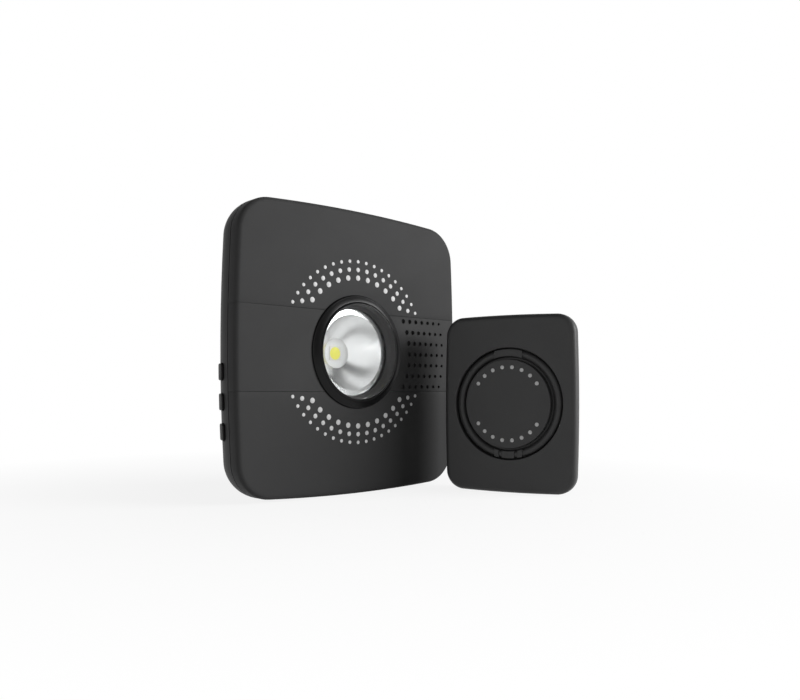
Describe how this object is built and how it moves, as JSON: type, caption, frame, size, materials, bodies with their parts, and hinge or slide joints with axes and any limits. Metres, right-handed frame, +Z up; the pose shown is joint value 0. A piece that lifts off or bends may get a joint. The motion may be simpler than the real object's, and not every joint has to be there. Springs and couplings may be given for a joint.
{
  "type": "garage door controller",
  "caption": "Square wall hub with rounded corners, a warning lamp behind a clear lens, a speaker grille and side push buttons, with a separate battery door sensor.",
  "frame": {"origin": "centre of the hub's flat rear face, which lies on the wall", "axes": "+X right and +Z up as seen from the front, +Y into the wall; the hub's front faces -Y"},
  "size_m": [0.1509, 0.1069, 0.1378],
  "materials": {
    "cover_plastic": "fine moulded satin texture",
    "rear_plastic": "moulded matt texture",
    "dot_print": "printed pale grey",
    "gloss_plastic": "polished black",
    "lens_clear": "clear polished",
    "reflector_bright": "bright vacuum metallised",
    "lamp_board_white": "white solder mask",
    "led_white": "white package",
    "led_yellow": "yellow phosphor",
    "gasket_foam": "closed foam",
    "plated_steel": "bright plated",
    "cone_paper": "black pressed paper",
    "magnet_grey": "sintered grey",
    "board_green": "green solder mask",
    "module_blue": "dark blue solder mask",
    "chip_black": "moulded black",
    "capacitor_sleeve": "shrunk sleeve",
    "button_plastic": "soft satin black",
    "plunger_ivory": "plain moulded",
    "contact_brass": "plated brass",
    "sensor_plastic": "fine moulded satin texture",
    "cell_steel": "nickel plated"
  },
  "bodies": {
    "hub_body": {"hub_front_cover": "cover_plastic", "left_trim": "cover_plastic", "grille_trim": "cover_plastic", "hub_rear_housing": "rear_plastic", "front_dots": "dot_print", "lamp_bezel": "gloss_plastic", "lamp_lens": "lens_clear", "lamp_reflector": "reflector_bright", "lamp_board": "lamp_board_white", "led_package": "led_white", "led_phosphor": "led_yellow", "speaker_gasket": "gasket_foam", "speaker_frame": "plated_steel", "speaker_cone": "cone_paper", "speaker_magnet": "magnet_grey", "main_board": "board_green", "wifi_module": "module_blue", "wifi_shield": "plated_steel", "radio_module": "plated_steel", "board_chips": "chip_black", "capacitors": "capacitor_sleeve", "button_switches": "chip_black", "power_jack": "chip_black", "jack_pin": "contact_brass", "housing_screws": "plated_steel", "board_screws": "plated_steel"},
    "upper_button_body": {"upper_button": "button_plastic", "upper_plunger": "plunger_ivory"},
    "middle_button_body": {"middle_button": "button_plastic", "middle_plunger": "plunger_ivory"},
    "lower_button_body": {"lower_button": "button_plastic", "lower_plunger": "plunger_ivory"},
    "sensor_body": {"sensor_front_shell": "sensor_plastic", "sensor_rear_shell": "sensor_plastic", "coin_cell": "cell_steel", "cell_clip": "contact_brass", "cell_contact": "contact_brass", "sensor_board": "board_green", "sensor_chips": "chip_black", "tilt_switch": "plated_steel", "sensor_screws": "plated_steel", "sensor_board_screws": "plated_steel"},
    "battery_cover_body": {"battery_cover": "sensor_plastic", "cover_dots": "dot_print"}
  },
  "joints": [
    {"name": "upper_button_press", "type": "slide", "parent": "hub_body", "child": "upper_button_body", "axis": [1, 0, 0], "range_m": [0, 0.0006], "stiffness_N_per_m": 2500},
    {"name": "middle_button_press", "type": "slide", "parent": "hub_body", "child": "middle_button_body", "axis": [1, 0, 0], "range_m": [0, 0.0006], "stiffness_N_per_m": 2500},
    {"name": "lower_button_press", "type": "slide", "parent": "hub_body", "child": "lower_button_body", "axis": [1, 0, 0], "range_m": [0, 0.0006], "stiffness_N_per_m": 2500},
    {"name": "sensor_lift", "type": "slide", "parent": "hub_body", "child": "sensor_body", "axis": [0, 0, 1], "range_m": [0, 0.2]},
    {"name": "battery_cover_twist", "type": "hinge", "parent": "sensor_body", "child": "battery_cover_body", "pos_m": [0.07306, -0.06919, -0.0252], "axis": [-0.9426, -0.3338, 0], "range_deg": [0, 60]}
  ]
}
